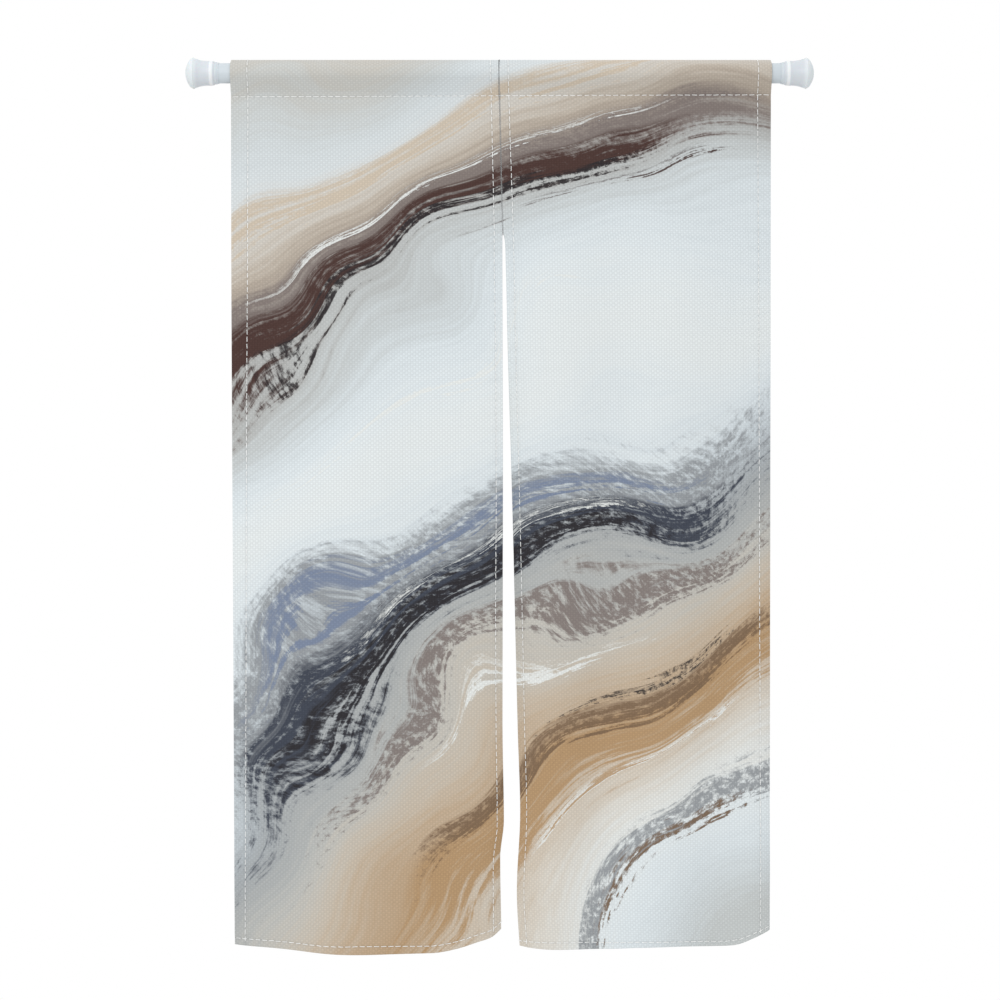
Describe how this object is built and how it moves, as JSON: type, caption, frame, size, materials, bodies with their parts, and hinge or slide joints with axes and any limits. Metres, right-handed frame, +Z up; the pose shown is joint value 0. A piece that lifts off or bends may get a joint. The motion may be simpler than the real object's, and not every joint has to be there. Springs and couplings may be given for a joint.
{
  "type": "noren curtain on a tension rod",
  "caption": "Split doorway curtain of hemmed cloth panels, hung by its rod pocket on a straight tension rod with flared end caps.",
  "frame": {"origin": "middle of the left end cap's wall face, on the rod's axis", "axes": "+X along the rod to the right end cap, -Y towards the viewer of the cloth's face, +Z up"},
  "size_m": [1.004, 0.0653, 1.4358],
  "materials": {
    "printed_cloth": "matte plain-weave linen-look polyester, printed",
    "white_enamel": "smooth white enamel on a steel tube",
    "white_plastic": "smooth moulded white plastic"
  },
  "bodies": {
    "root": {"panel_left": "printed_cloth", "panel_right": "printed_cloth", "rod_tube": "white_enamel", "end_cap_left": "white_plastic", "end_cap_right": "white_plastic"}
  },
  "joints": []
}
